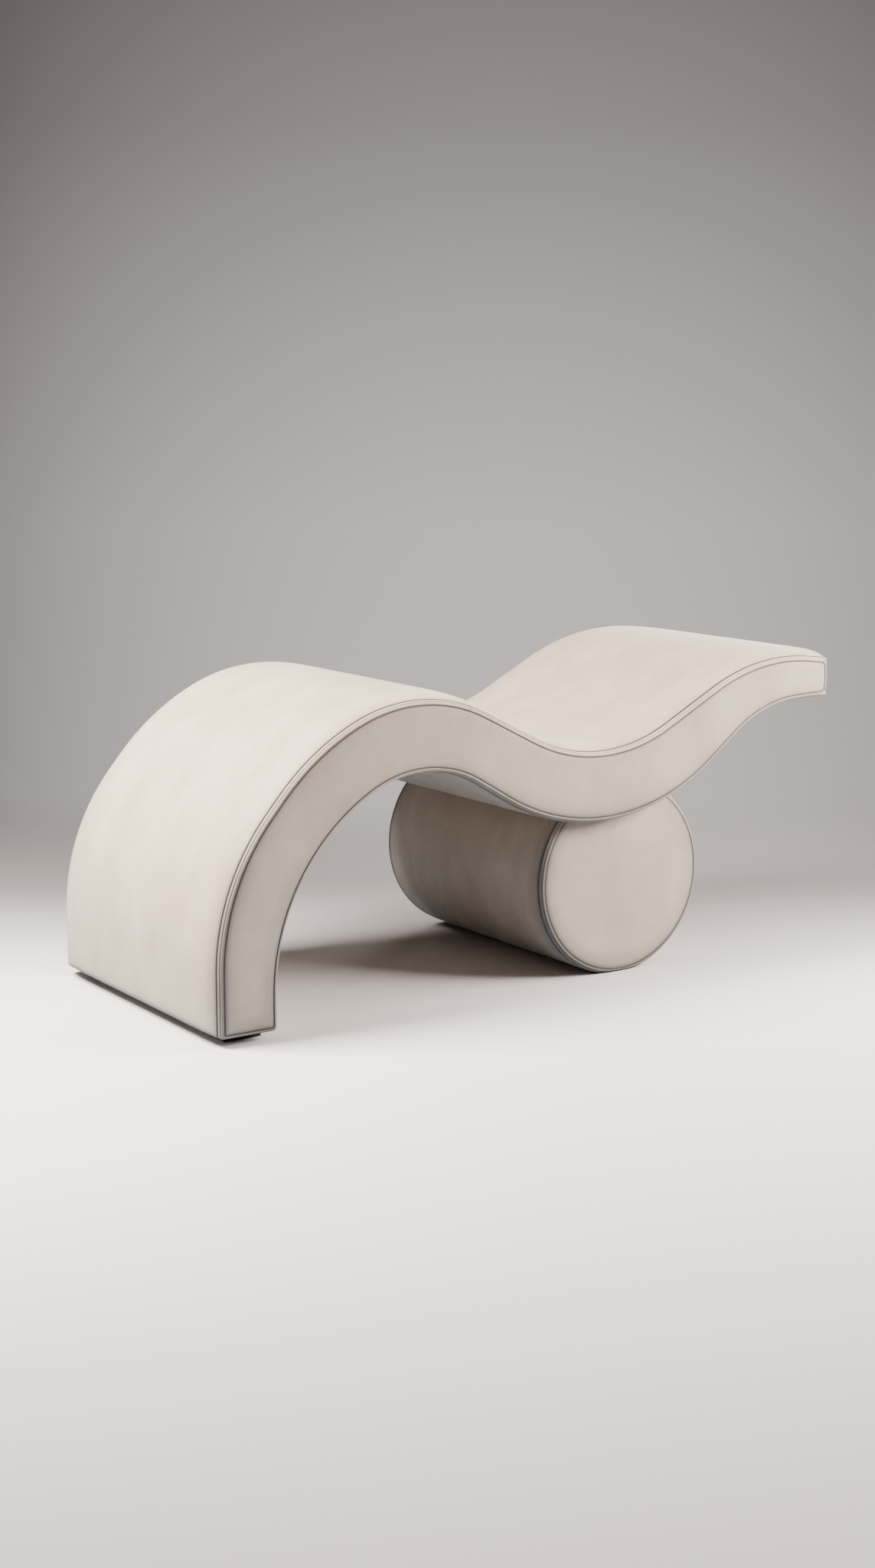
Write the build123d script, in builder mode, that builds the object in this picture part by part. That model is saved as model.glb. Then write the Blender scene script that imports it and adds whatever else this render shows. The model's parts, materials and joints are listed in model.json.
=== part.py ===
import os
from math import atan2, degrees, radians, tan

from build123d import *

# Eyelash extension bed: an upholstered wave that stands on its own foot and on a drum.
# Millimetres. X runs along the bed from foot to head, Y across it, Z up from the floor.
# The origin lies on the floor in the middle of the bed.

# Overall sizes of the bed
bed_length = 1800.0
bed_width = 800.0
bed_height = 770.0
foot_clearance = 24.0

# Upholstery of the wave
cover_thickness = 2.0
top_crown = 10.0
under_crown = 6.0
crown_width = 70.0
shoulder_width = 24.0
shoulder_drop_share = 0.4
seam_inset = 4.0
side_roll = 9.0
top_foam_thickness = 50.0
under_foam_thickness = 16.0
side_foam_thickness = 12.0
head_foam_thickness = 20.0

# Plywood frame of the wave
top_deck_thickness = 8.0
under_deck_thickness = 5.0
rib_thickness = 18.0
board_thickness = 18.0
rail_size = 38.0
rail_setback = 4.0
joint_clearance = 0.25

# Drum under the seat
drum_radius_share = 0.317
drum_setback = 53.0
drum_place_share = 0.647
drum_flat_depth = 12.5
drum_crown = 2.0
drum_edge_roll = 9.0
drum_foam_thickness = 15.0
drum_skin_thickness = 5.0
disc_thickness = 18.0
stave_width = 45.0
stave_depth = 22.0
stave_first_angle = -60.0
stave_pitch_angle = 30.0
staves_per_side = 4
saddle_thickness = 12.0
saddle_rail_width = 60.0
saddle_rail_spacing = 160.0
saddle_rail_rise_share = 0.45
saddle_block_length = 240.0

# Feet
foot_plinth_inset = 43.0
foot_plinth_depth = 92.0
foot_plinth_setback = 48.0
drum_plinth_height = 10.0
drum_plinth_width = 130.0
base_board_width = 140.0
base_board_thickness = 15.0
pad_thickness = 2.0
pad_radius = 16.0
pad_inset = 30.0

# Fasteners
bolt_radius = 5.0
bolt_head_radius = 8.5
bolt_head_height = 6.4
bolt_setback = 167.0
washer_radius = 15.0
washer_thickness = 2.5
tee_nut_flange_radius = 13.0
tee_nut_flange = 2.0
tee_nut_barrel_radius = 7.0
tee_nut_barrel = 14.0
screw_radius = 2.5
screw_head_radius = 5.0
screw_head_height = 3.0
screw_bite = 14.0
screw_setback = 107.0

# Corners of the wave's two lines, foot to head, as shares of the length and the height.
# Every run between two corners is shared out at a split, so that the arcs always fit.
top_corner_shares = [
    (0, 0), (0, 0.47), (0.136, 0.841), (0.302, 1.025),
    (0.591, 0.68), (0.868, 1.02), (0.999, 0.982),
]
top_split_shares = [0.453, 0.665, 0.389, 0.5, 0.394, 0.72]
under_corner_shares = [
    (0.087, 0), (0.087, 0.44), (0.208, 0.662), (0.308, 0.792),
    (0.615, 0.365), (0.877, 0.838), (0.998, 0.847),
]
under_split_shares = [0.05, 0.858, 0.195, 0.339, 0.639, 0.505]
rail_place_shares = [0.09, 0.17, 0.25, 0.33, 0.41, 0.49, 0.74, 0.797, 0.85]

# Places that follow from the sizes
half_length = bed_length / 2
half_width = bed_width / 2
seam_side = half_width - seam_inset
side_face = half_width - cover_thickness
frame_half = side_face - side_foam_thickness
rib_face = frame_half - rib_thickness
pocket_roll = side_roll * (seam_inset - cover_thickness) / seam_inset
foot_floor = foot_clearance + cover_thickness
rib_foot = foot_floor + board_thickness
top_frame = cover_thickness + top_foam_thickness
under_frame = cover_thickness + under_foam_thickness
top_rib = top_frame + top_deck_thickness
under_rib = under_frame + under_deck_thickness
frame_head = half_length - cover_thickness - head_foam_thickness
rib_head = frame_head - board_thickness
drum_x = drum_place_share * bed_length - half_length
drum_radius = drum_radius_share * bed_height
drum_z = drum_plinth_height + drum_radius - drum_flat_depth
drum_half = half_width - drum_setback
drum_length = drum_half + drum_half
drum_seam = drum_half - seam_inset
drum_inner_end = drum_half - cover_thickness
drum_floor = drum_plinth_height + cover_thickness
core_radius = drum_radius - cover_thickness - drum_foam_thickness
core_half = drum_inner_end - drum_foam_thickness
disc_radius = core_radius - drum_skin_thickness
base_top = drum_floor + base_board_thickness
core_length = core_half + core_half
saddle_rail_floor = drum_z + saddle_rail_rise_share * drum_radius
block_top = drum_z + drum_radius
bolt_spacing = drum_length - bolt_setback - bolt_setback
foot_plinth_x = foot_plinth_inset + foot_plinth_depth / 2 - half_length
foot_plinth_length = bed_width - foot_plinth_setback - foot_plinth_setback
foot_pad_spacing = foot_plinth_length - pad_inset - pad_inset
drum_pad_spacing = core_length - pad_inset - pad_inset
screw_spacing = drum_length - screw_setback - screw_setback
bolt_hole = bolt_radius + joint_clearance
screw_hole = screw_radius + joint_clearance
screw_shoulder = pad_thickness + screw_head_height


def across(y):
    """Upright plane across the bed at y, with its own axes along X and Z."""
    return Plane.XZ.offset(-y)


def wave_line(corner_shares, split_shares, shift, foot_level, head_face):
    """Corners and arc radii of a line of the wave, moved to its right by shift."""
    corners = [Vector(x * bed_length - half_length, z * bed_height) for x, z in corner_shares]
    runs = [end - start for start, end in zip(corners, corners[1:])]
    rights = [Vector(run.Y, -run.X).normalized() for run in runs]
    points = [Vector(corners[0].X + shift, foot_level)]
    radii = []
    for place in range(1, len(runs)):
        before, after = runs[place - 1], runs[place]
        bisector = rights[place - 1] + rights[place]
        points.append(corners[place] + bisector * (shift / bisector.dot(rights[place])))
        reach = min(before.length * (1 - split_shares[place - 1]), after.length * split_shares[place])
        radius = reach / tan(radians(before.get_angle(after) / 2))
        radii.append(radius - shift if before.cross(after).Z < 0 else radius + shift)
    end = corners[-1] + rights[-1] * shift
    points.append(end + runs[-1] * ((head_face - end.X) / runs[-1].X))
    return points, radii


def top_points(depth, foot_level, head_face):
    """The top line, depth below the crown of the bed."""
    return wave_line(top_corner_shares, top_split_shares, depth, foot_level, head_face)


def under_points(depth, foot_level, head_face):
    """The underside line, depth above the crown of the underside."""
    return wave_line(under_corner_shares, under_split_shares, -depth, foot_level, head_face)


def strip_face(first, second):
    """Face between two wave lines."""
    with BuildSketch() as strip:
        with BuildLine():
            one = FilletPolyline(*first[0], radius=first[1])
            other = FilletPolyline(*second[0], radius=second[1])
            Line(one @ 0, other @ 0)
            Line(one @ 1, other @ 1)
        make_face()
    return strip.sketch


def band_face(top_depth, under_depth, foot_level, head_face):
    """Face between a line inside the top and one inside the underside."""
    return strip_face(top_points(top_depth, foot_level, head_face),
                      under_points(under_depth, foot_level, head_face))


def top_strip(outer_depth, inner_depth, foot_level, head_face):
    """Face between two lines inside the top."""
    return strip_face(top_points(outer_depth, foot_level, head_face),
                      top_points(inner_depth, foot_level, head_face))


def under_strip(outer_depth, inner_depth, foot_level, head_face):
    """Face between two lines inside the underside."""
    return strip_face(under_points(outer_depth, foot_level, head_face),
                      under_points(inner_depth, foot_level, head_face))


def both_sides(stations):
    """Stations from the far side to the near side, given from the middle outwards."""
    near = [(-y, drop, roll) for y, drop, roll in stations]
    return list(reversed(stations)) + near


# Stations across the bed: place, share of the crown lost, and roll over the edge
cover_stations = [
    (half_width - crown_width, 0, 0),
    (half_width - shoulder_width, shoulder_drop_share, 0),
    (seam_side, 1, 0),
]
foam_stations = cover_stations + [(side_face, 1, pocket_roll)]


def flap_face(drop, roll):
    """Inner face of the cover on the head end."""
    return half_length - cover_thickness - under_crown * drop - roll


def bolt_rounds(radius, low, high):
    """Upright cylinders at the four saddle bolts."""
    with BuildPart() as rounds:
        with BuildSketch(Plane.XY.offset(low)):
            with Locations((drum_x, 0)):
                with GridLocations(saddle_rail_spacing, bolt_spacing, 2, 2):
                    Circle(radius)
        extrude(amount=high - low)
    return rounds.part


def pair_rounds(centre_x, spacing, radius, low, high):
    """Two upright cylinders across the bed, as screws, screw holes or pads."""
    with BuildPart() as rounds:
        with BuildSketch(Plane.XY.offset(low)):
            with Locations((centre_x, 0)):
                with GridLocations(spacing, spacing, 1, 2):
                    Circle(radius)
        extrude(amount=high - low)
    return rounds.part


# Top cover: one panel from the foot's lower edge over the wave and down the head end
with BuildPart() as top_cover:
    for y, drop, roll in both_sides(cover_stations):
        depth = top_crown * drop
        flap = flap_face(drop, roll)
        with BuildSketch(across(y)):
            with BuildLine():
                points, radii = top_points(depth, foot_clearance, flap + cover_thickness)
                outer = FilletPolyline(*points, radius=radii)
                points, radii = top_points(depth + cover_thickness, foot_clearance, flap)
                inner = FilletPolyline(*points, radius=radii)
                low_outer = under_points(under_crown * drop, foot_clearance, flap + cover_thickness)
                low_inner = under_points(under_crown * drop, foot_clearance, flap)
                Polyline(outer @ 1, low_outer[0][-1], low_inner[0][-1], inner @ 1)
                Line(outer @ 0, inner @ 0)
            make_face()
    loft(ruled=True)
top_cover.part.label = "top_cover"

# Underside cover: from the head end down to the foot and across the foot's bottom
with BuildPart() as underside_cover:
    for y, drop, roll in both_sides(cover_stations):
        depth = under_crown * drop
        front = cover_thickness + top_crown * drop - half_length
        with BuildSketch(across(y)):
            with BuildLine():
                points, radii = under_points(depth, foot_clearance, flap_face(drop, roll))
                outer = FilletPolyline(*points, radius=radii)
                points, radii = under_points(depth + cover_thickness, foot_floor, flap_face(drop, roll))
                inner = FilletPolyline(*points, radius=radii)
                Polyline(outer @ 0, (front, foot_clearance), (front, foot_floor), inner @ 0)
                Line(outer @ 1, inner @ 1)
            make_face()
    loft(ruled=True)
    add(bolt_rounds(bolt_hole, foot_floor, drum_z + drum_radius), mode=Mode.SUBTRACT)
    add(pair_rounds(foot_plinth_x, screw_spacing, screw_hole, 0, rib_foot), mode=Mode.SUBTRACT)
underside_cover.part.label = "underside_cover"

# Side covers: shallow dishes that close the two faces of the wave
side_covers = []
for name, side in (("side_cover_near", -1), ("side_cover_far", 1)):
    with BuildPart() as side_cover:
        for y, roll in ((seam_side, 0), (half_width, side_roll)):
            with BuildSketch(across(side * y)):
                head_face = half_length - under_crown - roll
                add(band_face(top_crown + roll, under_crown + roll, foot_clearance + roll, head_face))
        loft(ruled=True)
        for y, roll in ((seam_side, 0), (side_face, pocket_roll)):
            inset = cover_thickness + roll
            with BuildSketch(across(side * y)):
                add(band_face(top_crown + inset, under_crown + inset, foot_clearance + inset, flap_face(1, roll)))
        loft(ruled=True, mode=Mode.SUBTRACT)
    side_cover.part.label = name
    side_covers.append(side_cover.part)

# Top foam: the soft layer, crowned outside and flat on the deck
with BuildPart() as top_foam:
    for y, drop, roll in both_sides(foam_stations):
        depth = cover_thickness + top_crown * drop + roll
        with BuildSketch(across(y)):
            add(top_strip(depth, top_frame, foot_floor + roll, flap_face(drop, roll)))
    loft(ruled=True)
top_foam.part.label = "top_foam"

# Underside foam: a thinner layer, holed for the bolts
with BuildPart() as underside_foam:
    for y, drop, roll in both_sides(foam_stations):
        depth = cover_thickness + under_crown * drop + roll
        with BuildSketch(across(y)):
            add(under_strip(depth, under_frame, foot_floor + roll, flap_face(drop, roll)))
    loft(ruled=True)
    add(bolt_rounds(bolt_hole, foot_floor, block_top), mode=Mode.SUBTRACT)
underside_foam.part.label = "underside_foam"

# Head foam: the pad between the head board and the cover
with BuildPart() as head_foam:
    for y, drop, roll in both_sides(foam_stations):
        face = flap_face(drop, roll)
        top_pair = [top_points(top_frame, foot_floor, x)[0][-1] for x in (frame_head, face)]
        under_pair = [under_points(under_frame, foot_floor, x)[0][-1] for x in (frame_head, face)]
        with BuildSketch(across(y)):
            with BuildLine():
                Polyline(*top_pair, *reversed(under_pair), close=True)
            make_face()
    loft(ruled=True)
head_foam.part.label = "head_foam"

# Side foams: thin pads over the outer ribs
side_foams = []
for name, side in (("side_foam_near", -1), ("side_foam_far", 1)):
    with BuildPart() as side_foam:
        for y, roll in ((frame_half, 0), (seam_side, 0), (side_face, pocket_roll)):
            with BuildSketch(across(side * y)):
                add(band_face(top_frame, under_frame, foot_floor + roll, frame_head))
        loft(ruled=True)
    side_foam.part.label = name
    side_foams.append(side_foam.part)

# Decks: bent plywood skins over and under the ribs
with BuildPart() as top_deck:
    with BuildSketch(across(frame_half)):
        add(top_strip(top_frame, top_rib, foot_floor, frame_head))
    extrude(amount=frame_half + frame_half)
top_deck.part.label = "top_deck"

with BuildPart() as underside_deck:
    with BuildSketch(across(frame_half)):
        add(under_strip(under_frame, under_rib, foot_floor, frame_head))
    extrude(amount=frame_half + frame_half)
    add(bolt_rounds(bolt_hole, foot_floor, block_top), mode=Mode.SUBTRACT)
underside_deck.part.label = "underside_deck"

# Cross rails: square timbers through the centre rib, housed between the outer ribs
with BuildLine() as rail_line:
    points, radii = top_points(top_rib + rail_setback + rail_size / 2, rib_foot, rib_head)
    FilletPolyline(*points, radius=radii)
rail_places = []
for share in rail_place_shares:
    place = rail_line.line @ share
    direction = rail_line.line % share
    rail_places.append(Location((place.X, place.Y), degrees(atan2(direction.Y, direction.X))))

cross_rails = []
for number, place in enumerate(rail_places, start=1):
    with BuildPart() as cross_rail:
        with BuildSketch(across(rib_face)):
            with Locations(place):
                Rectangle(rail_size, rail_size)
        extrude(amount=rib_face + rib_face)
    cross_rail.part.label = f"cross_rail_{number}"
    cross_rails.append(cross_rail.part)

# Ribs: three plywood profiles that carry the decks
ribs = []
for name, y in (("rib_near", -rib_face), ("rib_centre", rib_thickness / 2), ("rib_far", frame_half)):
    with BuildPart() as rib:
        with BuildSketch(across(y)):
            add(band_face(top_rib, under_rib, rib_foot, rib_head))
            if name == "rib_centre":
                with Locations(*rail_places):
                    Rectangle(rail_size, rail_size, mode=Mode.SUBTRACT)
        extrude(amount=rib_thickness)
    rib.part.label = name
    ribs.append(rib.part)

# End boards: they close the frame at the foot and at the head
with BuildPart() as foot_board:
    with BuildSketch(across(frame_half)):
        with BuildLine():
            top_pair = [top_points(top_rib, z, rib_head)[0][0] for z in (foot_floor, rib_foot)]
            under_pair = [under_points(under_rib, z, rib_head)[0][0] for z in (foot_floor, rib_foot)]
            Polyline(*top_pair, *reversed(under_pair), close=True)
        make_face()
    extrude(amount=frame_half + frame_half)
    add(pair_rounds(foot_plinth_x, screw_spacing, screw_hole, foot_clearance, foot_floor + screw_bite), mode=Mode.SUBTRACT)
foot_board.part.label = "foot_board"

with BuildPart() as head_board:
    with BuildSketch(across(frame_half)):
        with BuildLine():
            top_pair = [top_points(top_rib, rib_foot, x)[0][-1] for x in (rib_head, frame_head)]
            under_pair = [under_points(under_rib, rib_foot, x)[0][-1] for x in (rib_head, frame_head)]
            Polyline(*top_pair, *reversed(under_pair), close=True)
        make_face()
    extrude(amount=frame_half + frame_half)
head_board.part.label = "head_board"

# Saddle blocks: shaped timbers on the lower deck that take the bolts
saddle_blocks = []
for name, y in (("saddle_block_near", -rib_thickness / 2), ("saddle_block_far", rib_face)):
    with BuildPart() as saddle_block:
        with BuildSketch(across(y)):
            add(band_face(top_rib, under_rib, rib_foot, rib_head))
            with Locations((drum_x, block_top / 2)):
                Rectangle(saddle_block_length, block_top, mode=Mode.INTERSECT)
        extrude(amount=rib_face - rib_thickness / 2)
        add(bolt_rounds(bolt_hole, drum_z, block_top), mode=Mode.SUBTRACT)
        add(bolt_rounds(tee_nut_barrel_radius, block_top - tee_nut_barrel, block_top), mode=Mode.SUBTRACT)
    saddle_block.part.label = name
    saddle_blocks.append(saddle_block.part)

# Foot plinth and its pads
with BuildPart() as foot_plinth:
    with BuildSketch(Plane.XY.offset(pad_thickness)):
        with Locations((foot_plinth_x, 0)):
            Rectangle(foot_plinth_depth, foot_plinth_length)
    extrude(amount=foot_clearance - pad_thickness)
    add(pair_rounds(foot_plinth_x, screw_spacing, screw_hole, 0, foot_clearance), mode=Mode.SUBTRACT)
    add(pair_rounds(foot_plinth_x, screw_spacing, screw_head_radius, 0, screw_shoulder), mode=Mode.SUBTRACT)
foot_plinth.part.label = "foot_plinth"

with BuildPart() as foot_pads:
    add(pair_rounds(foot_plinth_x, foot_pad_spacing, pad_radius, 0, pad_thickness))
foot_pads.part.label = "foot_pads"

with BuildPart() as foot_screws:
    add(pair_rounds(foot_plinth_x, screw_spacing, screw_head_radius, pad_thickness, screw_shoulder))
    add(pair_rounds(foot_plinth_x, screw_spacing, screw_radius, screw_shoulder, foot_floor + screw_bite))
foot_screws.part.label = "foot_screws"


def drum_form(inset, roll, floor):
    """Round body of the drum, inset from its outside, cut flat at its floor level."""
    crown_radius = drum_radius - inset
    seam_radius = crown_radius - drum_crown
    half_profile = [
        (drum_half - crown_width, crown_radius),
        (drum_seam, seam_radius),
        (drum_half - inset, seam_radius - roll),
        (drum_half - inset, 0),
    ]
    near = [(-y, radius) for y, radius in half_profile]
    outline = [(y, drum_z + radius) for y, radius in list(reversed(near)) + half_profile]
    with BuildPart() as form:
        with BuildSketch(Plane.YZ.offset(drum_x)):
            with BuildLine():
                Polyline(*outline, close=True)
            make_face()
        revolve(axis=Axis((drum_x, 0, drum_z), (0, 1, 0)))
        split(bisect_by=Plane.XY.offset(floor), keep=Keep.TOP)
    return form.part


# Shapes that the drum's pieces are cut with
with BuildPart() as wave_zone:
    with BuildSketch(across(half_width)):
        add(band_face(0, 0, foot_clearance, half_length))
    extrude(amount=bed_width)

with BuildPart() as saddle_zone:
    with BuildSketch(across(half_width)):
        add(band_face(0, -saddle_thickness, foot_clearance, half_length))
    extrude(amount=bed_width)

drum_outside = drum_form(0, drum_edge_roll, drum_plinth_height)
drum_inside = drum_form(cover_thickness, pocket_roll, drum_floor)

with BuildPart() as base_zone:
    with BuildSketch(Plane.XY):
        with Locations((drum_x, 0)):
            Rectangle(base_board_width, drum_length)
    extrude(amount=base_top)


def drum_round(radius, start, length):
    """Cylinder on the drum's axis, from start towards the near side."""
    with BuildPart() as round_part:
        with BuildSketch(across(start)):
            with Locations((drum_x, drum_z)):
                Circle(radius)
        extrude(amount=length)
    return round_part.part


# Drum wrap cover: the panel round the drum, open where the wave rests
with BuildPart() as drum_wrap_cover:
    add(drum_outside)
    add(drum_inside, mode=Mode.SUBTRACT)
    add(wave_zone.part, mode=Mode.SUBTRACT)
    split(bisect_by=across(-drum_seam), keep=Keep.BOTTOM)
    split(bisect_by=across(drum_seam), keep=Keep.TOP)
    add(pair_rounds(drum_x, screw_spacing, screw_hole, 0, base_top), mode=Mode.SUBTRACT)
drum_wrap_cover.part.label = "drum_wrap_cover"

# Drum end covers: the round faces
drum_end_covers = []
for name, side, keep in (("drum_end_cover_near", -1, Keep.TOP), ("drum_end_cover_far", 1, Keep.BOTTOM)):
    with BuildPart() as drum_end_cover:
        add(drum_outside)
        add(drum_inside, mode=Mode.SUBTRACT)
        add(wave_zone.part, mode=Mode.SUBTRACT)
        split(bisect_by=across(side * drum_seam), keep=keep)
    drum_end_cover.part.label = name
    drum_end_covers.append(drum_end_cover.part)

# Drum foams: a wrap round the skin and a pad on each end
with BuildPart() as drum_wrap_foam:
    add(drum_inside)
    add(drum_round(core_radius, drum_half, drum_length), mode=Mode.SUBTRACT)
    add(wave_zone.part, mode=Mode.SUBTRACT)
    add(base_zone.part, mode=Mode.SUBTRACT)
drum_wrap_foam.part.label = "drum_wrap_foam"

drum_end_foams = []
for name, start in (("drum_end_foam_near", -core_half), ("drum_end_foam_far", drum_inner_end)):
    with BuildPart() as drum_end_foam:
        add(drum_round(core_radius, start, drum_foam_thickness))
        add(wave_zone.part, mode=Mode.SUBTRACT)
        add(base_zone.part, mode=Mode.SUBTRACT)
    drum_end_foam.part.label = name
    drum_end_foams.append(drum_end_foam.part)

# Drum skin: bent plywood round the discs
with BuildPart() as drum_skin:
    add(drum_round(core_radius, core_half, core_length))
    add(drum_round(disc_radius, core_half, core_length), mode=Mode.SUBTRACT)
    add(saddle_zone.part, mode=Mode.SUBTRACT)
    add(base_zone.part, mode=Mode.SUBTRACT)
drum_skin.part.label = "drum_skin"

# Saddle board: bent plywood that fits the wave's underside
with BuildPart() as saddle_board:
    with BuildSketch(across(core_half)):
        add(under_strip(-saddle_thickness, 0, foot_clearance, half_length))
        with Locations((drum_x, drum_z)):
            Circle(core_radius, mode=Mode.INTERSECT)
    extrude(amount=core_length)
    add(bolt_rounds(bolt_hole, drum_z, block_top), mode=Mode.SUBTRACT)
saddle_board.part.label = "saddle_board"

# Saddle rails: timbers under the saddle board, flat below for the washers
rail_half = core_half - disc_thickness
saddle_rail_reach = block_top - saddle_rail_floor
saddle_rail_places = [drum_x - saddle_rail_spacing / 2, drum_x + saddle_rail_spacing / 2]
saddle_rails = []
for name, x in zip(("saddle_rail_front", "saddle_rail_back"), saddle_rail_places):
    with BuildPart() as saddle_rail:
        with BuildSketch(across(rail_half)):
            with Locations((x, saddle_rail_floor)):
                Rectangle(saddle_rail_width, saddle_rail_reach, align=(Align.CENTER, Align.MIN))
        extrude(amount=rail_half + rail_half)
        add(saddle_zone.part, mode=Mode.SUBTRACT)
        add(bolt_rounds(bolt_hole, drum_z, block_top), mode=Mode.SUBTRACT)
    saddle_rail.part.label = name
    saddle_rails.append(saddle_rail.part)

# Staves: timbers along the drum that the skin is stapled to
head_angles = [stave_first_angle + stave_pitch_angle * step for step in range(staves_per_side)]
foot_angles = [180 - angle for angle in head_angles]
stave_places = [
    Location(Vector(drum_x, drum_z) + Vector(disc_radius, 0).rotate(Axis.Z, angle), angle)
    for angle in head_angles + foot_angles
]
staves = []
for number, place in enumerate(stave_places, start=1):
    with BuildPart() as stave:
        with BuildSketch(across(rail_half)):
            with Locations(place):
                Rectangle(stave_depth, stave_width, align=(Align.MAX, Align.CENTER))
            with Locations((drum_x, drum_z)):
                Circle(disc_radius, mode=Mode.INTERSECT)
        extrude(amount=rail_half + rail_half)
    stave.part.label = f"drum_stave_{number}"
    staves.append(stave.part)

# Drum discs: three plywood rounds, cut to the saddle and to the base board
discs = []
for name, y in (("drum_disc_near", -rail_half), ("drum_disc_centre", disc_thickness / 2),
                ("drum_disc_far", core_half)):
    with BuildPart() as disc:
        with BuildSketch(across(y)):
            with Locations((drum_x, drum_z)):
                Circle(disc_radius)
            if name == "drum_disc_centre":
                with Locations(*stave_places):
                    Rectangle(stave_depth, stave_width, align=(Align.MAX, Align.CENTER), mode=Mode.SUBTRACT)
                for x in saddle_rail_places:
                    with Locations((x, saddle_rail_floor)):
                        Rectangle(saddle_rail_width, saddle_rail_reach, align=(Align.CENTER, Align.MIN),
                                  mode=Mode.SUBTRACT)
        extrude(amount=disc_thickness)
        add(saddle_zone.part, mode=Mode.SUBTRACT)
        add(base_zone.part, mode=Mode.SUBTRACT)
    disc.part.label = name
    discs.append(disc.part)

# Base board inside the drum's flat
with BuildPart() as drum_base_board:
    with BuildSketch(Plane.XY.offset(drum_floor)):
        with Locations((drum_x, 0)):
            Rectangle(base_board_width, core_length)
    extrude(amount=base_board_thickness)
    add(pair_rounds(drum_x, screw_spacing, screw_hole, 0, drum_floor + screw_bite), mode=Mode.SUBTRACT)
drum_base_board.part.label = "drum_base_board"

# Drum plinth, its pads and its screws
with BuildPart() as drum_plinth:
    with BuildSketch(Plane.XY.offset(pad_thickness)):
        with Locations((drum_x, 0)):
            Rectangle(drum_plinth_width, core_length)
    extrude(amount=drum_plinth_height - pad_thickness)
    add(pair_rounds(drum_x, screw_spacing, screw_hole, 0, drum_plinth_height), mode=Mode.SUBTRACT)
    add(pair_rounds(drum_x, screw_spacing, screw_head_radius, 0, screw_shoulder), mode=Mode.SUBTRACT)
drum_plinth.part.label = "drum_plinth"

with BuildPart() as drum_pads:
    add(pair_rounds(drum_x, drum_pad_spacing, pad_radius, 0, pad_thickness))
drum_pads.part.label = "drum_pads"

with BuildPart() as drum_screws:
    add(pair_rounds(drum_x, screw_spacing, screw_head_radius, pad_thickness, screw_shoulder))
    add(pair_rounds(drum_x, screw_spacing, screw_radius, screw_shoulder, drum_floor + screw_bite))
drum_screws.part.label = "drum_screws"


# Saddle bolts, their washers and the tee nuts in the blocks
washer_floor = saddle_rail_floor - washer_thickness
with BuildPart() as saddle_bolts:
    add(bolt_rounds(bolt_head_radius, washer_floor - bolt_head_height, washer_floor))
    add(bolt_rounds(bolt_radius, washer_floor, block_top))
saddle_bolts.part.label = "saddle_bolts"

with BuildPart() as saddle_washers:
    add(bolt_rounds(washer_radius, washer_floor, saddle_rail_floor))
    add(bolt_rounds(bolt_hole, washer_floor, saddle_rail_floor), mode=Mode.SUBTRACT)
saddle_washers.part.label = "saddle_washers"

with BuildPart() as tee_nuts:
    add(bolt_rounds(tee_nut_flange_radius, block_top, block_top + tee_nut_flange))
    add(bolt_rounds(tee_nut_barrel_radius, block_top - tee_nut_barrel, block_top))
    add(bolt_rounds(bolt_hole, block_top - tee_nut_barrel, block_top + tee_nut_flange), mode=Mode.SUBTRACT)
tee_nuts.part.label = "tee_nuts"

pieces = [
    top_cover.part, underside_cover.part, top_foam.part, underside_foam.part, head_foam.part,
    top_deck.part, underside_deck.part, foot_board.part, head_board.part,
    foot_plinth.part, foot_pads.part, foot_screws.part,
    drum_wrap_cover.part, drum_wrap_foam.part, drum_skin.part, saddle_board.part,
    drum_base_board.part, drum_plinth.part, drum_pads.part, drum_screws.part,
    saddle_bolts.part, saddle_washers.part, tee_nuts.part,
]
pieces += side_covers + side_foams + ribs + cross_rails + saddle_blocks
pieces += drum_end_covers + drum_end_foams + discs + staves + saddle_rails

os.makedirs("parts", exist_ok=True)
for piece in pieces:
    export_step(piece, f"parts/{piece.label}.step")
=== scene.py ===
import json
import math

import bpy
import mathutils
import mathutils.kdtree
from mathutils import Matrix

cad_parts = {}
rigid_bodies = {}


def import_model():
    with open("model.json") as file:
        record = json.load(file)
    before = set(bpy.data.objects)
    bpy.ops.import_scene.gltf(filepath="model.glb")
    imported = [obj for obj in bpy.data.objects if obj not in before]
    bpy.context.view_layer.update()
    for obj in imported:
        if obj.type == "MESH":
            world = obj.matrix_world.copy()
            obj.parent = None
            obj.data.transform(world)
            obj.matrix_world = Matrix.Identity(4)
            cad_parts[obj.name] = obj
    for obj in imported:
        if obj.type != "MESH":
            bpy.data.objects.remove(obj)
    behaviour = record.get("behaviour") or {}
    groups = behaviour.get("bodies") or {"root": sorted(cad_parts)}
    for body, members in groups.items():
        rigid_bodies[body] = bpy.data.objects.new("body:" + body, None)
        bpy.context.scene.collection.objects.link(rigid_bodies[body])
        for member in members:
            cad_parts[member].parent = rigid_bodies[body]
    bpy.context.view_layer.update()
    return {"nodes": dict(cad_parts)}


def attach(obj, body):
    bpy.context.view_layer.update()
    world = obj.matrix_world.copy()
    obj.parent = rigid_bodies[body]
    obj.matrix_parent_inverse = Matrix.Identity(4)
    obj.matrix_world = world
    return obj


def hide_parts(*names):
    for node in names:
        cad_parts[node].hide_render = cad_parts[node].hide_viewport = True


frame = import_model()


# The frame inside the bed: plywood ribs, decks and discs, softwood rails, staves and blocks,
# glued and stapled, with steel bolts and screws. All of it is under the upholstery, and the
# solids of the frame stay as they are.
def new_finish(name, roughness):
    """A material with its shader, ready for a pattern."""
    finish = bpy.data.materials.new(name)
    finish.use_nodes = True
    shader = finish.node_tree.nodes["Principled BSDF"]
    shader.inputs["Roughness"].default_value = roughness
    return finish, finish.node_tree, shader


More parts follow.
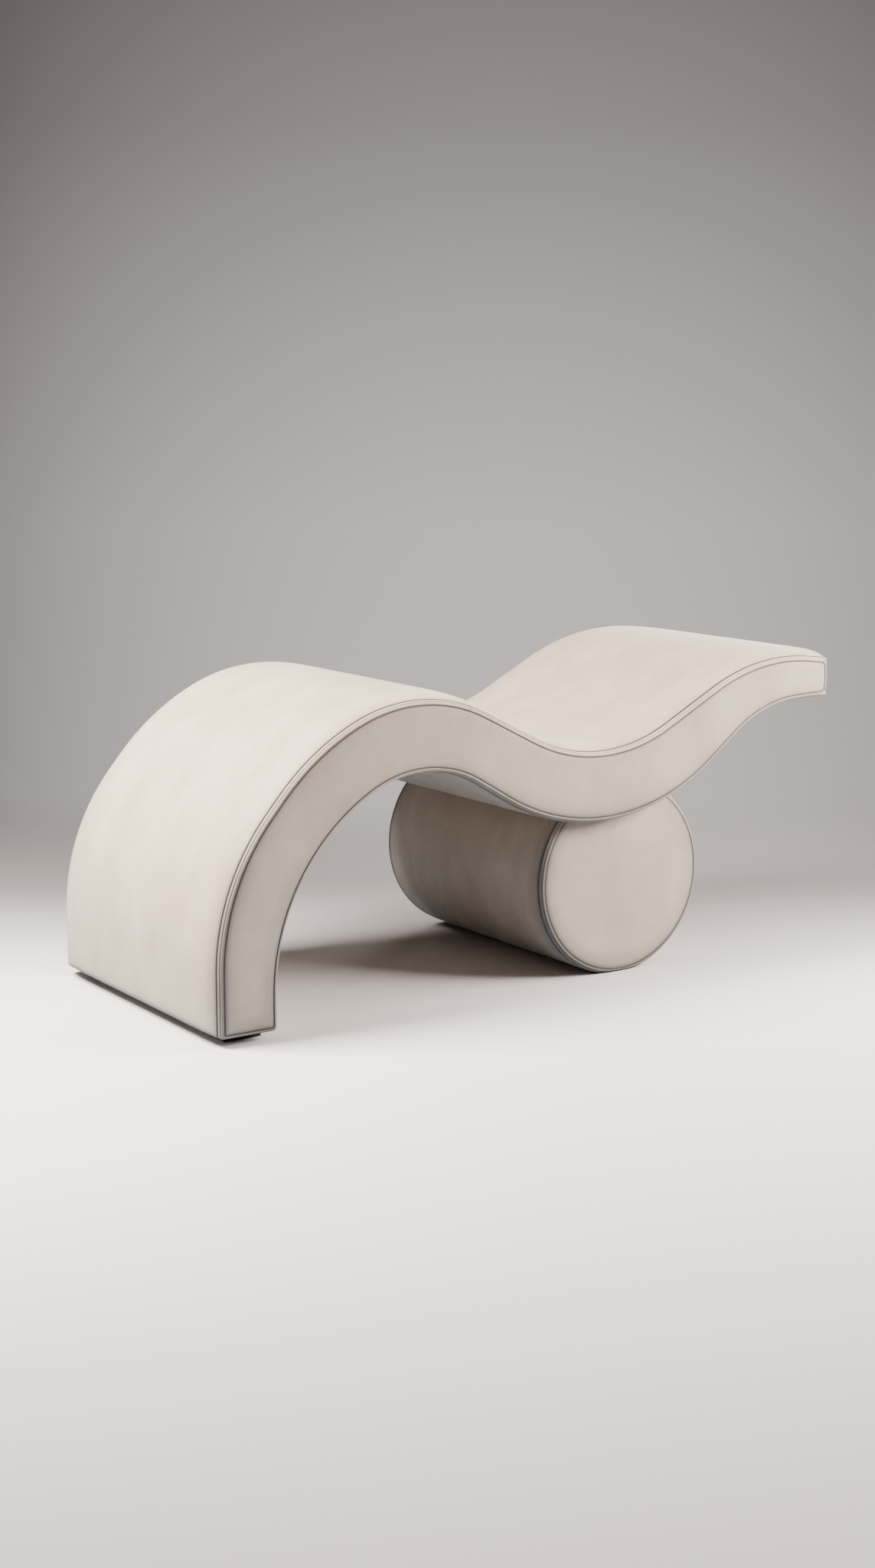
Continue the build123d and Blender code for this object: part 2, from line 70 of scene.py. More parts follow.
def pattern(tree, kind, stretch=(1, 1, 1), **settings):
    """A texture node on the piece's own coordinates, stretched by stretch."""
    place = tree.nodes.new("ShaderNodeTexCoord")
    scale = tree.nodes.new("ShaderNodeMapping")
    scale.inputs["Scale"].default_value = stretch
    texture = tree.nodes.new(kind)
    tree.links.new(place.outputs["Object"], scale.inputs["Vector"])
    tree.links.new(scale.outputs["Vector"], texture.inputs["Vector"])
    for socket, value in settings.items():
        texture.inputs[socket].default_value = value
    return texture


def ramp(tree, source, stops):
    """A colour ramp from a grey source. Each stop is a place and a linear colour."""
    node = tree.nodes.new("ShaderNodeValToRGB")
    while len(node.color_ramp.elements) < len(stops):
        node.color_ramp.elements.new(0.5)
    for element, (place, colour) in zip(node.color_ramp.elements, stops):
        element.position = place
        element.color = (*colour, 1)
    tree.links.new(source, node.inputs["Fac"])
    return node


def bump(tree, shader, source, height, strength=1.0):
    """Relief of height metres on a shader, over any relief that it already has."""
    node = tree.nodes.new("ShaderNodeBump")
    node.inputs["Distance"].default_value = height
    node.inputs["Strength"].default_value = strength
    tree.links.new(source, node.inputs["Height"])
    normal = shader.inputs["Normal"]
    if normal.is_linked:
        tree.links.new(normal.links[0].from_socket, node.inputs["Normal"])
    tree.links.new(node.outputs["Normal"], normal)


def wood(name, pale, dark, stretch):
    """Wood with grain lines along the axis that stretch leaves long."""
    finish, tree, shader = new_finish(name, 0.62)
    grain = pattern(tree, "ShaderNodeTexNoise", stretch, Scale=14, Detail=6, Distortion=0.6)
    colour = ramp(tree, grain.outputs["Fac"], [(0.3, dark), (0.7, pale)])
    tree.links.new(colour.outputs["Color"], shader.inputs["Base Color"])
    bump(tree, shader, grain.outputs["Fac"], 0.0004, 0.4)
    return finish


plywood = wood("plywood", (0.62, 0.45, 0.27), (0.42, 0.28, 0.15), (1, 8, 8))
softwood = wood("softwood", (0.66, 0.48, 0.28), (0.50, 0.33, 0.17), (9, 0.6, 9))
steel, tree, shader = new_finish("zinc_steel", 0.35)
shader.inputs["Metallic"].default_value = 1
marks = pattern(tree, "ShaderNodeTexNoise", Scale=400)
colour = ramp(tree, marks.outputs["Fac"], [(0.3, (0.42, 0.43, 0.45)), (0.7, (0.60, 0.61, 0.63))])
tree.links.new(colour.outputs["Color"], shader.inputs["Base Color"])

timber_starts = ("cross_rail", "saddle_rail", "saddle_block", "drum_stave")
steel_parts = ("foot_screws", "drum_screws", "saddle_bolts", "saddle_washers", "tee_nuts")
plywood_parts = ("top_deck", "underside_deck", "rib_near", "rib_centre", "rib_far", "foot_board",
                 "head_board", "drum_disc_near", "drum_disc_centre", "drum_disc_far", "drum_skin",
                 "saddle_board", "drum_base_board")
for name, node in frame["nodes"].items():
    finish = softwood if name.startswith(timber_starts) else None
    finish = plywood if name in plywood_parts else steel if name in steel_parts else finish
    if finish:
        node.data.materials.clear()
        node.data.materials.append(finish)


# Feet: black laminated boards screwed under the foot and the drum, set back from the edges,
# each on two rubber pads. Their near-black is partly the boards' own colour and partly painted
# shade of the gap under the bed.
black, tree, shader = new_finish("black_board", 0.55)
speck = pattern(tree, "ShaderNodeTexNoise", Scale=600, Detail=3)
board_black_and_shade = [(0.3, (0.008, 0.008, 0.008)), (0.7, (0.018, 0.017, 0.016))]
colour = ramp(tree, speck.outputs["Fac"], board_black_and_shade)
tree.links.new(colour.outputs["Color"], shader.inputs["Base Color"])
bump(tree, shader, speck.outputs["Fac"], 0.0001, 0.3)
rubber, tree, shader = new_finish("pad_rubber", 0.85)
speck = pattern(tree, "ShaderNodeTexNoise", Scale=900, Detail=2)
tint = [(0.3, (0.012, 0.012, 0.012)), (0.7, (0.022, 0.022, 0.022))]
colour = ramp(tree, speck.outputs["Fac"], tint)
tree.links.new(colour.outputs["Color"], shader.inputs["Base Color"])
feet = {"foot_plinth": black, "drum_plinth": black, "foot_pads": rubber, "drum_pads": rubber}
for name, finish in feet.items():
    frame["nodes"][name].data.materials.clear()
    frame["nodes"][name].data.materials.append(finish)


# Wrap of the wave: leatherette over foam, in a top panel that also covers the head end, and an
# underside panel that also closes the foot's bottom. The seams' allowances lie flat to both sides
# and are stitched down, which leaves a groove and two ridges between two sunk rows.
def begin(name):
    """An empty mesh object in edit mode, ready to be drawn in."""
    bpy.ops.object.select_all(action="DESELECT")
    bpy.ops.mesh.primitive_plane_add(size=0.01)
    bpy.context.object.name = name
    bpy.ops.object.mode_set(mode="EDIT")
    bpy.ops.mesh.delete(type="VERT")
    return bpy.context.object


def draw(points):
    """Draws a chain of edges through points and leaves it selected."""
    bpy.ops.mesh.select_mode(type="VERT")
    bpy.ops.mesh.select_all(action="DESELECT")
    bpy.ops.mesh.primitive_plane_add(size=0.01, location=points[0])
    bpy.ops.mesh.merge(type="CENTER")
    for here, there in zip(points, points[1:]):
        carry([end - start for start, end in zip(here, there)])
    bpy.ops.object.mode_set(mode="OBJECT")
    vertices = bpy.context.object.data.vertices
    for vertex in vertices[len(vertices) - len(points):]:
        vertex.select = True
    bpy.ops.object.mode_set(mode="EDIT")


def carry(step):
    """Extrudes the selected edges by step."""
    bpy.ops.mesh.extrude_region_move(TRANSFORM_OT_translate={"value": step})


def sweep(walk, spot, heading):
    """Carries the selected edges along straights and bends, and says how high they end."""
    x, z = spot
    for straight, cuts, turn, radius, steps in walk:
        ahead = math.cos(heading), math.sin(heading)
        for _ in range(cuts):
            carry((ahead[0] * straight / cuts, 0, ahead[1] * straight / cuts))
        x, z = x + ahead[0] * straight, z + ahead[1] * straight
        if steps:
            reach = math.copysign(radius, turn)
            centre = x - ahead[1] * reach, z + ahead[0] * reach
            angle = math.radians(turn)
            bpy.ops.mesh.spin(steps=steps, angle=angle, center=(centre[0], 0, centre[1]),
                              axis=(0, 1, 0))
            heading += angle
            x, z = centre[0] + math.sin(heading) * reach, centre[1] - math.cos(heading) * reach
    return z


def choose(piece, wanted):
    """Selects the vertices that wanted says yes to, and nothing else, in edit mode."""
    bpy.ops.mesh.select_mode(type="VERT")
    bpy.ops.mesh.select_all(action="DESELECT")
    bpy.ops.object.mode_set(mode="OBJECT")
    for vertex in piece.data.vertices:
        vertex.select = wanted(vertex.co)
    bpy.ops.object.mode_set(mode="EDIT")


def choose_edges(piece, wanted):
    """Selects the edges whose two ends wanted says yes to, and nothing else, in edit mode."""
    bpy.ops.mesh.select_mode(type="EDGE")
    bpy.ops.mesh.select_all(action="DESELECT")
    bpy.ops.object.mode_set(mode="OBJECT")
    spots = piece.data.vertices
    for edge in piece.data.edges:
        edge.select = wanted(*(spots[index].co for index in edge.vertices))
    bpy.ops.object.mode_set(mode="EDIT")


def reopen(piece):
    """Goes into edit mode on piece alone."""
    if bpy.context.object.mode == "EDIT":
        bpy.ops.object.mode_set(mode="OBJECT")
    bpy.ops.object.select_all(action="DESELECT")
    piece.select_set(True)
    bpy.context.view_layer.objects.active = piece
    bpy.ops.object.mode_set(mode="EDIT")


def part_off(piece, name, wanted, copy=False):
    """Separates the vertices that wanted picks, or a copy of them, into a piece of their own."""
    reopen(piece)
    choose(piece, wanted)
    if copy:
        bpy.ops.mesh.duplicate()
    bpy.ops.mesh.separate(type="SELECTED")
    made = [other for other in bpy.context.selected_objects if other != piece][0]
    made.name = name
    return made


def modifier(piece, kind, **settings):
    """Adds a modifier to a piece and applies it."""
    made = piece.modifiers.new(kind.lower(), kind)
    for setting, value in settings.items():
        setattr(made, setting, value)
    bpy.context.view_layer.objects.active = piece
    bpy.ops.object.modifier_apply(modifier=made.name)


def settle(piece):
    """Leaves edit mode and puts the piece's origin at the origin of the bed."""
    bpy.ops.object.mode_set(mode="OBJECT")
    bpy.ops.object.select_all(action="DESELECT")
    piece.select_set(True)
    bpy.context.view_layer.objects.active = piece
    bpy.ops.object.transform_apply(location=True, rotation=True, scale=True)
    bpy.ops.object.shade_smooth()


hair = 0.0001  # spots closer than this are the same spot
half_width = 0.4
foot_level = 0.0215
seam_inset = 0.0046
# Section of a panel's edge: how far in from the side, and how far it rises from the seam
wrap_row_inset = 0.0124
seam_band = [
    (seam_inset, 0), (0.0050, 0.0013), (0.0059, 0.0026), (0.0076, 0.0035), (0.0098, 0.0040),
    (0.0114, 0.0040), (wrap_row_inset, 0.0035), (0.0136, 0.0050), (0.0155, 0.0066),
    (0.0195, 0.0086),
]
top_crown = [
    (0.027, 0.0114), (0.038, 0.0149), (0.052, 0.0177), (0.070, 0.0199), (0.090, 0.0212),
    (0.120, 0.0218), (0.170, 0.0220), (0.240, 0.0220), (half_width, 0.0220),
]
under_crown = [
    (0.027, 0.0057), (0.038, 0.0058), (0.052, 0.0059), (0.070, 0.0060), (0.090, 0.0060),
    (0.120, 0.0060), (0.170, 0.0060), (0.240, 0.0060), (half_width, 0.0060),
]
under_band_share = 0.8
top_seam_depth, under_seam_depth = 0.0106, 0.0058
# The walks go up the foot and over the wave: each row is a straight, its steps, and then a
# bend's turn in degrees, its radius and its steps. The last row of a walk turns into the head end.
front_roll, inner_roll = 0.0048, 0.0088
top_start, under_start = (-0.9, foot_level), (-0.7434, foot_level)
top_walk = [
    (0.14244, 2, -40.5944, 0.53523, 20), (0.05222, 2, -24.0371, 0.59199, 9),
    (0.00261, 1, -52.4206, 0.41043, 16), (0.16017, 5, 54.7546, 0.42847, 24),
    (0.17019, 5, -34.7762, 0.54631, 12),
]
under_walk = [
    (0.07975, 1, -51.8735, 0.48843, 21), (0, 0, -9.0476, 0.49691, 4),
    (0.00085, 1, -59.8310, 0.28815, 24), (0.09646, 5, 68.4305, 0.55995, 24),
    (0.10506, 5, -35.8560, 0.34014, 12),
]
top_end = (0.05948, 3, -82.9264, top_seam_depth, 4)
under_end = (0.10214, 3, 88.1776, under_seam_depth, 4)

wrap = begin("wave_wrap")


def across(section, seam_depth):
    """The whole width of a panel, near side first, as places across and depths below the walk."""
    near = [(inset - half_width, seam_depth - rise) for inset, rise in section]
    return near + [(-y, depth) for y, depth in reversed(near[:-1])]


top_across = across(seam_band + top_crown, top_seam_depth)
under_band = [(inset, min(rise * under_band_share, under_crown[0][1])) for inset, rise in seam_band]
under_across = across(under_band + under_crown, under_seam_depth)
quarter = [math.radians(90 * step / 4) for step in range(5)]

draw([(top_start[0] + front_roll + depth, y, foot_level) for y, depth in top_across])
for here, there in zip(quarter, quarter[1:]):
    forward, upward = math.sin(there) - math.sin(here), math.cos(here) - math.cos(there)
    carry((-front_roll * forward, 0, front_roll * upward))
first = (top_walk[0][0] - front_roll, *top_walk[0][1:])
foot_front = top_start[0], foot_level + front_roll
top_turn = sweep([first, *top_walk[1:], top_end], foot_front, math.radians(90))

draw([(under_start[0] - inner_roll - depth, y, foot_level) for y, depth in under_across])
for here, there in zip(quarter, quarter[1:]):
    forward, upward = math.sin(there) - math.sin(here), math.cos(here) - math.cos(there)
    carry((inner_roll * forward, 0, inner_roll * upward))
first = (under_walk[0][0] - inner_roll, *under_walk[0][1:])
foot_back = under_start[0], foot_level + inner_roll
under_turn = sweep([first, *under_walk[1:], under_end], foot_back, math.radians(90))

# Low on the foot the crown rolls under, so it turns on a larger radius than the seam does,
# and down the head end the cover is pulled almost flat
head_end, head_pull = 0.8925, 0.2
front_from, head_from = -0.86, 0.88  # the foot's front and the head end lie beyond these
rises = {round(y, 5): top_seam_depth - depth for y, depth in top_across}
bpy.ops.object.mode_set(mode="OBJECT")
for vertex in wrap.data.vertices:
    spot = vertex.co
    if spot.z < foot_level + front_roll + hair and spot.x < front_from:
        turned = math.acos(max(0, 1 - (spot.z - foot_level) / front_roll))
        radius = front_roll + rises[round(spot.y, 5)]
        spot.x = top_start[0] + top_seam_depth + front_roll - radius * math.sin(turned)
        spot.z = foot_level + radius * (1 - math.cos(turned))
    if spot.x > head_end:
        spot.x = head_end + (spot.x - head_end) * head_pull
bpy.ops.object.mode_set(mode="EDIT")

# The two panels meet under the head end and in front of the foot's bottom
bpy.ops.mesh.select_all(action="SELECT")
bpy.ops.mesh.remove_doubles(threshold=hair)
choose(wrap, lambda spot: spot.x > head_from
       and min(abs(spot.z - top_turn), abs(spot.z - under_turn)) < hair)
bpy.ops.mesh.bridge_edge_loops(number_cuts=1, interpolation="LINEAR")
choose(wrap, lambda spot: spot.z < foot_level + hair)
bpy.ops.mesh.bridge_edge_loops(number_cuts=1, interpolation="LINEAR")
bpy.ops.mesh.select_all(action="SELECT")
bpy.ops.mesh.normals_make_consistent(inside=False)
choose(wrap, lambda spot: spot.x > head_from and abs(spot.z - under_turn) < hair
       or spot.x < front_from and spot.z < foot_level + hair)
bpy.ops.mesh.mark_seam()

# The sewn edge is the outline of the side panels, and its places set the painted seam shade round
# it
seam_y = half_width - seam_inset
seam_spacing = 0.002
side_near = part_off(wrap, "side_panel_near", lambda spot: abs(spot.y + seam_y) < hair, copy=True)
wave_seam = []
for edge in side_near.data.edges:
    one, other = (side_near.data.vertices[index].co for index in edge.vertices)
    steps = math.ceil((other - one).length / seam_spacing)
    for step in range(steps):
        spot = one.lerp(other, step / steps)
        wave_seam += [spot, mathutils.Vector((spot.x, -spot.y, spot.z))]
reopen(wrap)
settle(wrap)
modifier(wrap, "SUBSURF", levels=1, render_levels=1)
stitch_rows = []
for name, row_y in (("wrap_stitches_near", wrap_row_inset - half_width),
                    ("wrap_stitches_far", half_width - wrap_row_inset)):
    stitch_rows.append(part_off(wrap, name, lambda spot: abs(spot.y - row_y) < 2 * hair, copy=True))
reopen(wrap)

# Leatherette: a clouded cream hide with a fine pebbled grain
hide_thickness = 0.0012
leatherette, tree, shader = new_finish("leatherette", 0.56)
shader.inputs["Specular IOR Level"].default_value = 0.35
shader.inputs["Sheen Weight"].default_value = 0.12
cloud = pattern(tree, "ShaderNodeTexNoise", (1, 1.6, 1), Scale=6, Detail=6, Roughness=0.62,
                Distortion=0.4)
colour = ramp(tree, cloud.outputs["Fac"], [
    (0.30, (0.556, 0.448, 0.350)), (0.50, (0.624, 0.511, 0.404)), (0.68, (0.692, 0.578, 0.467)),
])
mottle = pattern(tree, "ShaderNodeTexNoise", Scale=210, Detail=4, Roughness=0.7)
shade = ramp(tree, mottle.outputs["Fac"], [(0.30, (0.90, 0.895, 0.89)), (0.70, (1, 1, 1))])
blend = tree.nodes.new("ShaderNodeMix")
blend.data_type, blend.blend_type = "RGBA", "MULTIPLY"
blend.inputs["Factor"].default_value = 1
tree.links.new(colour.outputs["Color"], blend.inputs["A"])
tree.links.new(shade.outputs["Color"], blend.inputs["B"])
grain = pattern(tree, "ShaderNodeTexVoronoi", Scale=850)
fine = pattern(tree, "ShaderNodeTexNoise", Scale=1600, Detail=3)
soft = pattern(tree, "ShaderNodeTexNoise", Scale=9, Detail=2)

# The hide is painted darker in a seam's groove, partly its patina and partly painted shade, and
# round the seams low on the bed it is painted a darker bluish grey, which is painted shade
seam_reach = 0.05
low_shade_from, low_shade_below = 0.66, 0.25
from_seam = tree.nodes.new("ShaderNodeAttribute")
from_seam.attribute_name = "from_seam"
reach = tree.nodes.new("ShaderNodeMapRange")
reach.inputs["From Max"].default_value = seam_reach
tree.links.new(from_seam.outputs["Fac"], reach.inputs["Value"])
high_seam_shade = ramp(tree, reach.outputs["Result"], [
    (0.0, (0.62, 0.61, 0.62)), (0.03, (0.84, 0.83, 0.84)), (0.115, (0.93, 0.93, 0.93)),
    (0.245, (0.84, 0.83, 0.82)), (0.42, (0.94, 0.94, 0.93)), (1.0, (1, 1, 1)),
])
# Low on the bed the seams take a bluish painted shade, darker than the seams higher up
low_seam_shade = ramp(tree, reach.outputs["Result"], [
    (0.0, (0.34, 0.35, 0.38)), (0.03, (0.54, 0.56, 0.60)), (0.10, (0.57, 0.595, 0.65)),
    (0.235, (0.51, 0.535, 0.59)), (0.42, (0.78, 0.80, 0.83)), (1.0, (1, 1, 1)),
])
place = tree.nodes.new("ShaderNodeTexCoord")
apart = tree.nodes.new("ShaderNodeSeparateXYZ")
low = tree.nodes.new("ShaderNodeMapRange")
low.interpolation_type = "SMOOTHSTEP"
low.inputs["From Min"].default_value = low_shade_from
low.inputs["From Max"].default_value = low_shade_below
tree.links.new(place.outputs["Object"], apart.inputs["Vector"])
tree.links.new(apart.outputs["Z"], low.inputs["Value"])
seam_shade = tree.nodes.new("ShaderNodeMix")
seam_shade.data_type = "RGBA"
tree.links.new(low.outputs["Result"], seam_shade.inputs["Factor"])
tree.links.new(high_seam_shade.outputs["Color"], seam_shade.inputs["A"])
tree.links.new(low_seam_shade.outputs["Color"], seam_shade.inputs["B"])
shaded_hide = tree.nodes.new("ShaderNodeMix")
shaded_hide.data_type, shaded_hide.blend_type = "RGBA", "MULTIPLY"
shaded_hide.inputs["Factor"].default_value = 1
tree.links.new(blend.outputs["Result"], shaded_hide.inputs["A"])
tree.links.new(seam_shade.outputs["Result"], shaded_hide.inputs["B"])

# A stitch row is painted as a dark line, partly the dark of its thread and partly painted shade in
# the sunk row, most of all on the top panel, where it is sunk deepest
row_shade = ramp(tree, reach.outputs["Result"], [
    (0.0, (1, 1, 1)), (0.115, (1, 1, 1)), (0.140, (0.18, 0.17, 0.17)),
    (0.215, (0.18, 0.17, 0.17)), (0.245, (1, 1, 1)),
])
row_depth = tree.nodes.new("ShaderNodeAttribute")
row_depth.attribute_name = "row_depth"
rowed = tree.nodes.new("ShaderNodeMix")
rowed.data_type, rowed.blend_type = "RGBA", "MULTIPLY"
tree.links.new(row_depth.outputs["Fac"], rowed.inputs["Factor"])
tree.links.new(shaded_hide.outputs["Result"], rowed.inputs["A"])
tree.links.new(row_shade.outputs["Color"], rowed.inputs["B"])
tree.links.new(rowed.outputs["Result"], shader.inputs["Base Color"])
bump(tree, shader, grain.outputs["Distance"], 0.00012, 0.5)
bump(tree, shader, fine.outputs["Fac"], 0.00010, 0.4)
bump(tree, shader, soft.outputs["Fac"], 0.0035, 0.25)


def upholster(piece, seam, depth, *covered):
    settle(piece)
    modifier(piece, "SOLIDIFY", thickness=hide_thickness, offset=-1)
    nearest = mathutils.kdtree.KDTree(len(seam))
    for index, spot in enumerate(seam):
        nearest.insert(spot, index)
    nearest.balance()
    distances = [nearest.find(vertex.co)[2] for vertex in piece.data.vertices]
    # depth sets how strong the painted shade of the stitch row is on this piece
    for name, values in (("from_seam", distances), ("row_depth", [depth] * len(distances))):
        piece.data.attributes.new(name, "FLOAT", "POINT").data.foreach_set("value", values)
    piece.data.materials.clear()
    piece.data.materials.append(leatherette)
    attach(piece, "root")
    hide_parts(*covered)


choose(wrap, lambda spot: spot.x > 0 and spot.z < 0.5)
bpy.ops.mesh.select_linked(delimit={"SEAM"})
bpy.ops.mesh.separate(type="SELECTED")
underside = [other for other in bpy.context.selected_objects if other != wrap][0]
underside.name = "underside_panel"
wrap.name = "top_panel"
upholster(wrap, wave_seam, 1.0, "top_cover", "top_foam", "head_foam")
upholster(underside, wave_seam, 0.6, "underside_cover", "underside_foam")


# Side panels: leatherette over thin foam on the outer ribs, cut to the outline of the wave and
# sewn to the wrap all round. The edge has its own allowance, groove and sunk row of stitches,
# and rises softly to the flat of the panel.
side_edge = [
    (seam_inset, 0), (0.0036, 0.0004), (0.0017, 0.0013), (0.0003, 0.0044), (0.0008, 0.0062),
    (0.0024, 0.0075), (0.0010, 0.0088), (0.0001, 0.0109), (-0.0008, 0.0154), (-0.0014, 0.0224),
    (-0.0016, 0.0304),
]
side_row_inset = 0.0019
reopen(side_near)
bpy.ops.mesh.select_all(action="SELECT")
bpy.ops.mesh.remove_doubles(threshold=hair)
bpy.ops.mesh.edge_face_add()
bpy.ops.object.mode_set(mode="OBJECT")
if side_near.data.polygons[0].normal.y > 0:
    side_near.data.flip_normals()
sewn_edge = list(side_near.data.polygons[0].vertices)
outline = [side_near.data.vertices[index].co.copy() for index in sewn_edge]
foot_middle = -0.822
inward = []
for before, spot, after in zip(outline[-1:] + outline[:-1], outline, outline[1:] + outline[:1]):
    arriving, leaving = (spot - before).normalized(), (after - spot).normalized()
    mitre = mathutils.Vector((-arriving.z - leaving.z, 0, arriving.x + leaving.x))
    mitre *= 2 / mitre.length_squared
    if spot.z < foot_level + inner_roll + hair and abs(spot.z - foot_level) + abs(mitre.x) > hair:
        mitre = mathutils.Vector((math.copysign(1, foot_middle - spot.x), 0, 1))
    inward.append(mitre)
for inset, depth in side_edge[1:]:
    bpy.ops.object.mode_set(mode="EDIT")
    bpy.ops.mesh.inset(thickness=hair)
    bpy.ops.object.mode_set(mode="OBJECT")
    middle = max(side_near.data.polygons, key=lambda polygon: len(polygon.vertices))
    for index, spot, way in zip(middle.vertices, outline, inward):
        place = spot + way * depth
        side_near.data.vertices[index].co = (place.x, inset - half_width, place.z)

# The flat of the panel is closed with one row of faces between its top and its underside edge
flat_y = side_edge[-1][0] - half_width
flat_rise = side_edge[-1][1]
foot_flat = foot_level + flat_rise
flat_head, head_middle, near_middle = 0.85, 0.703, 0.01
bpy.ops.object.mode_set(mode="EDIT")
bpy.ops.mesh.delete(type="ONLY_FACE")
choose(side_near, lambda spot: abs(spot.y - flat_y) < hair and (
    spot.z < foot_flat + hair and abs(spot.x - foot_middle) < near_middle
    or spot.x > flat_head and abs(spot.z - head_middle) < near_middle))
bpy.ops.mesh.dissolve_verts()
choose_edges(side_near, lambda one, other: max(abs(one.y - flat_y), abs(other.y - flat_y)) < hair
             and one.z + other.z > 2 * (foot_flat + hair)
             and not (one.x > flat_head and abs(one.z - other.z) > 2 * near_middle))
bpy.ops.mesh.bridge_edge_loops()
bpy.ops.mesh.select_all(action="SELECT")
bpy.ops.mesh.normals_make_consistent(inside=False)
bpy.ops.object.mode_set(mode="OBJECT")
bpy.ops.object.duplicate()
side_far = bpy.context.object
side_far.name = "side_panel_far"
bpy.ops.transform.resize(value=(1, -1, 1), center_override=(0, 0, 0))
reopen(side_far)
bpy.ops.mesh.select_all(action="SELECT")
bpy.ops.object.mode_set(mode="OBJECT")
bpy.ops.object.transform_apply(location=True, rotation=True, scale=True)
reopen(side_far)
bpy.ops.mesh.select_all(action="SELECT")
bpy.ops.mesh.normals_make_consistent(inside=False)
for side, way in ((side_near, "near"), (side_far, "far")):
    settle(side)
    modifier(side, "SUBSURF", levels=1, render_levels=1)
    row_y = half_width - side_row_inset
    stitch_rows.append(part_off(side, f"side_stitches_{way}",
                                lambda spot: abs(abs(spot.y) - row_y) < 0.5 * hair, copy=True))
    upholster(side, wave_seam, 0.6, f"side_cover_{way}", f"side_foam_{way}")


# Drum: leatherette over foam on the staves and discs, in a wrap that goes round and a panel on
# each end, sewn with the same ridged seam. Its top is cut to the underside of the wave, where
# the saddle bolts hold it, and it stands on its base board.
drum_x, drum_z, drum_radius, drum_half = 0.2646, 0.24159, 0.2472, 0.347
drum_base, drum_sewn_depth = 0.0045, 0.0058
# Section of the wrap and an end, from the middle out and in again: how far in from the end, and
# how far in from the round
drum_edge = [
    (drum_half, 0), (0.200, 0), (0.070, 0), (0.040, 0.0002), (0.025, 0.0006), (0.018, 0.0010),
    (0.015, 0.0013),
    (0.0134, 0.0020), (0.0124, 0.0030), (0.0114, 0.0023), (0.0098, 0.0016), (0.0076, 0.0020),
    (0.0058, 0.0032), (0.0049, 0.0046), (seam_inset, drum_sewn_depth), (0.0036, 0.0059),
    (0.0019, 0.0068), (0.0005, 0.0096), (0.0006, 0.0114), (0.0015, 0.0128), (0.0007, 0.0142),
    (-0.0002, 0.017), (-0.0012, 0.023), (-0.0020, 0.032), (-0.0026, 0.050), (-0.0030, 0.090),
    (-0.0032, 0.160), (-0.0033, drum_radius),
]
drum = begin("drum_wrap_panel")
lowest = drum_z - drum_radius
near_half = [(drum_x, inset - drum_half, lowest + depth) for inset, depth in reversed(drum_edge)]
draw(near_half + [(x, -y, z) for x, y, z in reversed(near_half[:-1])])
bpy.ops.mesh.spin(steps=96, angle=math.tau, center=(drum_x, 0, drum_z), axis=(0, 1, 0),
                  use_auto_merge=True)
bpy.ops.mesh.select_all(action="SELECT")
bpy.ops.mesh.remove_doubles(threshold=hair)
bpy.ops.mesh.normals_make_consistent(inside=False)
bpy.ops.mesh.bisect(plane_co=(0, 0, drum_base), plane_no=(0, 0, 1), clear_inner=True, use_fill=True)
settle(drum)

# The cutter is the space inside the wave, from just inside the face of its underside
cutter_half, cutter_height, saddle_bite = 0.45, 0.5, 0.001
cutter = begin("wave_cutter")
draw([(under_start[0], y, foot_level) for y in (-cutter_half, cutter_half)])
sweep(under_walk, under_start, math.radians(90))
choose(cutter, lambda spot: spot.x < -0.1)
bpy.ops.mesh.delete(type="VERT")
bpy.ops.mesh.select_all(action="SELECT")
bpy.ops.transform.translate(value=(0, 0, saddle_bite))
carry((0, 0, cutter_height))
bpy.ops.mesh.select_all(action="SELECT")
bpy.ops.mesh.normals_make_consistent(inside=False)
settle(cutter)
settle(drum)
modifier(drum, "BOOLEAN", operation="DIFFERENCE", object=cutter, solver="EXACT")
bpy.data.objects.remove(cutter)


def choose_faces(piece, wanted):
    """Selects the faces whose middle wanted says yes to, and nothing else, in edit mode."""
    reopen(piece)
    bpy.ops.mesh.select_mode(type="FACE")
    bpy.ops.mesh.select_all(action="DESELECT")
    bpy.ops.object.mode_set(mode="OBJECT")
    for face in piece.data.polygons:
        face.select = wanted(face.center)
    bpy.ops.object.mode_set(mode="EDIT")


def from_rim(spot):
    """How far a spot lies inside the round of the drum."""
    return drum_radius - math.hypot(spot.x - drum_x, spot.z - drum_z)


# The cut face under the saddle comes off, and the end panels come away at their seams
rim_skin, end_skin = 0.008, 0.003
choose_faces(drum, lambda spot: from_rim(spot) > rim_skin and spot.z > drum_z
             and abs(spot.y) < drum_half - end_skin)
bpy.ops.mesh.delete(type="FACE")
drum_ends = []
for name, way in (("drum_end_panel_near", -1), ("drum_end_panel_far", 1)):
    choose_faces(drum, lambda spot: spot.y * way > drum_half - seam_inset
                 and from_rim(spot) > drum_sewn_depth - hair)
    bpy.ops.mesh.separate(type="SELECTED")
    end = [other for other in bpy.context.selected_objects if other != drum][0]
    end.name = name
    drum_ends.append(end)
sewn_radius, sewn_y = drum_radius - drum_sewn_depth, drum_half - seam_inset
drum_seam = []
for step in range(720):
    turn = math.tau * step / 720
    x, z = drum_x + sewn_radius * math.sin(turn), drum_z + sewn_radius * math.cos(turn)
    drum_seam += [mathutils.Vector((x, -sewn_y, z)), mathutils.Vector((x, sewn_y, z))]
upholster(drum, drum_seam, 0.6, "drum_wrap_cover", "drum_wrap_foam")
upholster(drum_ends[0], drum_seam, 0.6, "drum_end_cover_near", "drum_end_foam_near")
upholster(drum_ends[1], drum_seam, 0.6, "drum_end_cover_far", "drum_end_foam_far")


